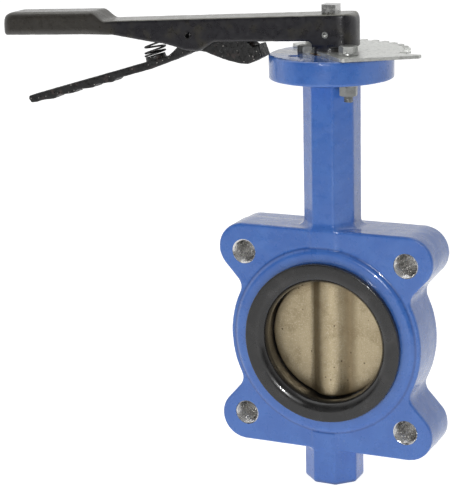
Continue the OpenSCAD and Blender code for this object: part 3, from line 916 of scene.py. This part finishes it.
def gloss_black():
    f = Finish("gloss_black", (0.016, 0.015, 0.019), 0.32, coat=0.4)
    f.tint((0.05, 0.045, 0.03), f.span(f.noise(9, 4), 0.5, 0.75, 0, 0.6))
    f.tint((0.2, 0.19, 0.17), f.span(f.cells(7), 0.02, 0.045, 0.6, 0))
    # Painted reflection: the faces that look up are lighter, standing in for the pale backdrop they reflect
    top_sheen_normal = f.node("ShaderNodeSeparateXYZ")
    f.link(f.node("ShaderNodeNewGeometry").outputs["Normal"], top_sheen_normal.inputs["Vector"])
    f.tint((0.2, 0.195, 0.15), f.span(top_sheen_normal.outputs["Z"], 0.35, 0.98, 0, 0.8))
    # The grip is rubbed to a browner, lighter black
    f.tint((0.052, 0.047, 0.038), f.span(f.coordinate("X"), -0.156, -0.138, 0.75, 0))
    f.rough(f.span(f.noise(4, 3), 0.3, 0.7, 0.24, 0.42))
    f.bump(f.noise(2.2, 3), 0.10)
    f.bump(f.noise(0.7, 2), 0.02)
    return f.material


def rough_black():
    f = Finish("rough_black", (0.014, 0.014, 0.014), 0.42)
    # Painted highlights: pale specks stand in for the glints of the rough cast surface
    f.tint((0.6, 0.57, 0.52), f.span(f.cells(2.6), 0.07, 0.16, 0.9, 0))
    f.tint((0.09, 0.06, 0.055), f.span(f.noise(6, 4), 0.55, 0.75, 0, 0.7))
    f.rough(f.span(f.noise(1.5, 3), 0.3, 0.7, 0.25, 0.6))
    f.bump(f.noise(1.6, 4), 0.35)
    f.bump(f.noise(0.6, 2), 0.08)
    return f.material


def dark_spring_steel():
    f = Finish("dark_spring_steel", (0.05, 0.05, 0.052), 0.35, metallic=0.8)
    f.tint((0.13, 0.12, 0.11), f.span(f.noise(1.2, 3), 0.5, 0.7, 0, 0.8))
    f.rough(f.span(f.noise(0.8, 2), 0.3, 0.7, 0.25, 0.45))
    f.bump(f.noise(0.4, 2), 0.01)
    return f.material


def bearing_bronze():
    f = Finish("bearing_bronze", (0.5, 0.32, 0.14), 0.34, metallic=0.9)
    f.tint((0.34, 0.2, 0.08), f.span(f.noise(2, 3, (1, 1, 0.1)), 0.4, 0.65))
    f.rough(f.span(f.noise(1, 3), 0.3, 0.7, 0.25, 0.45))
    f.bump(f.noise(0.4, 2, (1, 1, 0.1)), 0.01)
    return f.material


def white_floor():
    """Pale to the camera; what it lends the valve falls off to nothing in front."""
    f = Finish("white_floor", (0.8, 0.8, 0.8), 0.6, specular=0.2)
    f.set("Emission Color", (1, 1, 1, 1))
    lent = f.span(f.coordinate("Y"), -0.75, -0.2, 0.0, 0.48)
    seen = f.math("MULTIPLY", f.node("ShaderNodeLightPath").outputs["Is Camera Ray"], 0.85)
    f.link(f.math("MAXIMUM", lent, seen), f.shader.inputs["Emission Strength"])
    return f.material


def dress(obj, material):
    obj.data.materials.clear()
    obj.data.materials.append(material)


def dress_node(node, material):
    """Gives a CAD node its material without touching its mesh's points."""
    for slot in nodes[node].material_slots:
        slot.material = material
    if not nodes[node].material_slots:
        nodes[node].data.materials.append(material)


def piece(obj, material, body, slot, *stands_for):
    dress(obj, material)
    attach(obj, body)
    if stands_for:
        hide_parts(*stands_for)
    return obj


# ---- Assembly ----

paint = blue_paint()
rubber = seat_rubber()
bronze = cast_bronze()
zinc = zinc_plate("zinc_sheet")
bolt_zinc = zinc_plate("zinc_bolts", 0.55)
black = gloss_black()
rough_cast = rough_black()
spring_steel = dark_spring_steel()
bearing = bearing_bronze()
tapped_steel = turned_steel("tapped_steel", (0.85, 0.84, 0.82), (1, 1, 1), 0.22)
stem_steel = turned_steel("stem_steel", (0.72, 0.72, 0.71), (1, 1, 0.08), 0.26)

piece(body_casting(), paint, ROOT, "painted_casting", "body")
piece(lug_threads(), tapped_steel, ROOT, "stem_steel")
piece(seat_ring(), rubber, ROOT, "seat_rubber", "seat")
piece(plate_bolt_set(), bolt_zinc, ROOT, "zinc_steel", "plate_bolts")
piece(plate_nut_set(), bolt_zinc, ROOT, "zinc_steel", "plate_nuts")
piece(retainer_bolt(), bolt_zinc, ROOT, "zinc_steel", "retainer_screw")
piece(disc_casting(), bronze, ROTOR, "disc_bronze", "disc")
piece(lever_casting(), black, ROTOR, "black_lever", "lever")
piece(trigger_casting(), rough_cast, SQUEEZE, "black_casting", "trigger")

coil = piece(spring_coil(), spring_steel, ROTOR, "spring_steel", "trigger_spring")
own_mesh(coil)

for name, finish in (
    ("stem", stem_steel),
    ("stem_circlip", spring_steel),
    ("pivot_pin", spring_steel),
    ("lever_set_screw", bolt_zinc),
    ("notch_plate", zinc),
    ("plate_washers", bolt_zinc),
    ("thrust_washer", bearing),
    ("upper_bushing", bearing),
    ("middle_bushing", bearing),
    ("lower_bushing", bearing),
    ("stem_packing", rubber),
    ("stem_wiper", rubber),
):
    dress_node(name, finish)
soften("stem", 0.5, 3, 25)
soften("notch_plate", 0.3)
soften("plate_washers", 0.25)
soften("pivot_pin", 0.25)
soften("lever_set_screw", 0.2)
soften("thrust_washer", 0.2)
soften("stem_circlip", 0.15)


# ---- Stage: floor, light and camera ----


def add_floor():
    half, floor_z = 4.0, FOOT_Z * MM
    mesh = bpy.data.meshes.new("floor")
    corners = [(-half, -half, floor_z), (half, -half, floor_z), (half, half, floor_z), (-half, half, floor_z)]
    mesh.from_pydata(corners, [], [(0, 1, 2, 3)])
    floor = bpy.data.objects.new("floor", mesh)
    bpy.context.scene.collection.objects.link(floor)
    dress(floor, white_floor())


def add_light(name, place, target, size, power):
    data = bpy.data.lights.new(name, "AREA")
    data.shape = "RECTANGLE"
    data.size, data.size_y = size
    data.energy = power
    lamp = bpy.data.objects.new(name, data)
    bpy.context.scene.collection.objects.link(lamp)
    lamp.location = place
    lamp.rotation_euler = (Vector(target) - Vector(place)).to_track_quat("-Z", "Y").to_euler()


def add_world():
    """White to the camera, a soft room for the light, and a brighter back in the reflections."""
    world = bpy.data.worlds.new("studio")
    bpy.context.scene.world = world
    world.use_nodes = True
    tree = world.node_tree
    tree.nodes.clear()
    output = tree.nodes.new("ShaderNodeOutputWorld")
    room = tree.nodes.new("ShaderNodeBackground")
    white = tree.nodes.new("ShaderNodeBackground")
    path = tree.nodes.new("ShaderNodeLightPath")
    choose = tree.nodes.new("ShaderNodeMixShader")
    place = tree.nodes.new("ShaderNodeTexCoord")
    split = tree.nodes.new("ShaderNodeSeparateXYZ")
    front = tree.nodes.new("ShaderNodeMapRange")
    front.interpolation_type = "SMOOTHSTEP"
    for key, value in (("From Min", -0.8), ("From Max", 0.1), ("To Min", 0.05), ("To Max", 1.05)):
        front.inputs[key].default_value = value
    white.inputs["Strength"].default_value = 1.0
    share = tree.nodes.new("ShaderNodeMapRange")
    share.inputs["To Min"].default_value = 0.36
    strength = tree.nodes.new("ShaderNodeMath")
    strength.operation = "MULTIPLY"
    tree.links.new(place.outputs["Generated"], split.inputs["Vector"])
    tree.links.new(split.outputs["Y"], front.inputs["Value"])
    tree.links.new(path.outputs["Is Glossy Ray"], share.inputs["Value"])
    tree.links.new(front.outputs["Result"], strength.inputs[0])
    tree.links.new(share.outputs["Result"], strength.inputs[1])
    tree.links.new(strength.outputs["Value"], room.inputs["Strength"])
    tree.links.new(path.outputs["Is Camera Ray"], choose.inputs["Fac"])
    tree.links.new(room.outputs["Background"], choose.inputs[1])
    tree.links.new(white.outputs["Background"], choose.inputs[2])
    tree.links.new(choose.outputs["Shader"], output.inputs["Surface"])


def add_camera():
    """The photographer's view: a long lens from the front right, a little above the valve."""
    azimuth, elevation, roll = (math.radians(a) for a in (24.61, 14.62, -1.31))
    level = math.cos(elevation)
    back = Vector((math.sin(azimuth) * level, -math.cos(azimuth) * level, math.sin(elevation)))
    right = Vector((math.cos(azimuth), math.sin(azimuth), 0))
    up = back.cross(right)
    tilted_right = right * math.cos(roll) + up * math.sin(roll)
    tilted_up = up * math.cos(roll) - right * math.sin(roll)
    data = bpy.data.cameras.new("camera")
    data.sensor_fit = "HORIZONTAL"
    data.sensor_width = 36
    data.lens = 142.28
    data.shift_x = -0.0018
    data.shift_y = -0.0060
    camera = bpy.data.objects.new("camera", data)
    bpy.context.scene.collection.objects.link(camera)
    turn = Matrix((tilted_right, tilted_up, back)).transposed()
    camera.matrix_world = Matrix.Translation((0.40058, -1.02939, 0.34787)) @ turn.to_4x4()
    bpy.context.scene.camera = camera
    return camera


add_floor()
add_world()
camera = add_camera()
middle = (0.0, 0.0, 0.05)
add_light("flash", (0.154, -1.095, 0.367), middle, (0.05, 0.05), 4.8)
add_light("overhead", (-0.2, 0.1, 1.3), middle, (1.4, 1.4), 4.5)
add_light("left_panel", (-1.2, -0.5, 0.5), middle, (0.9, 1.4), 1.2)
bpy.context.scene.view_settings.view_transform = "Standard"
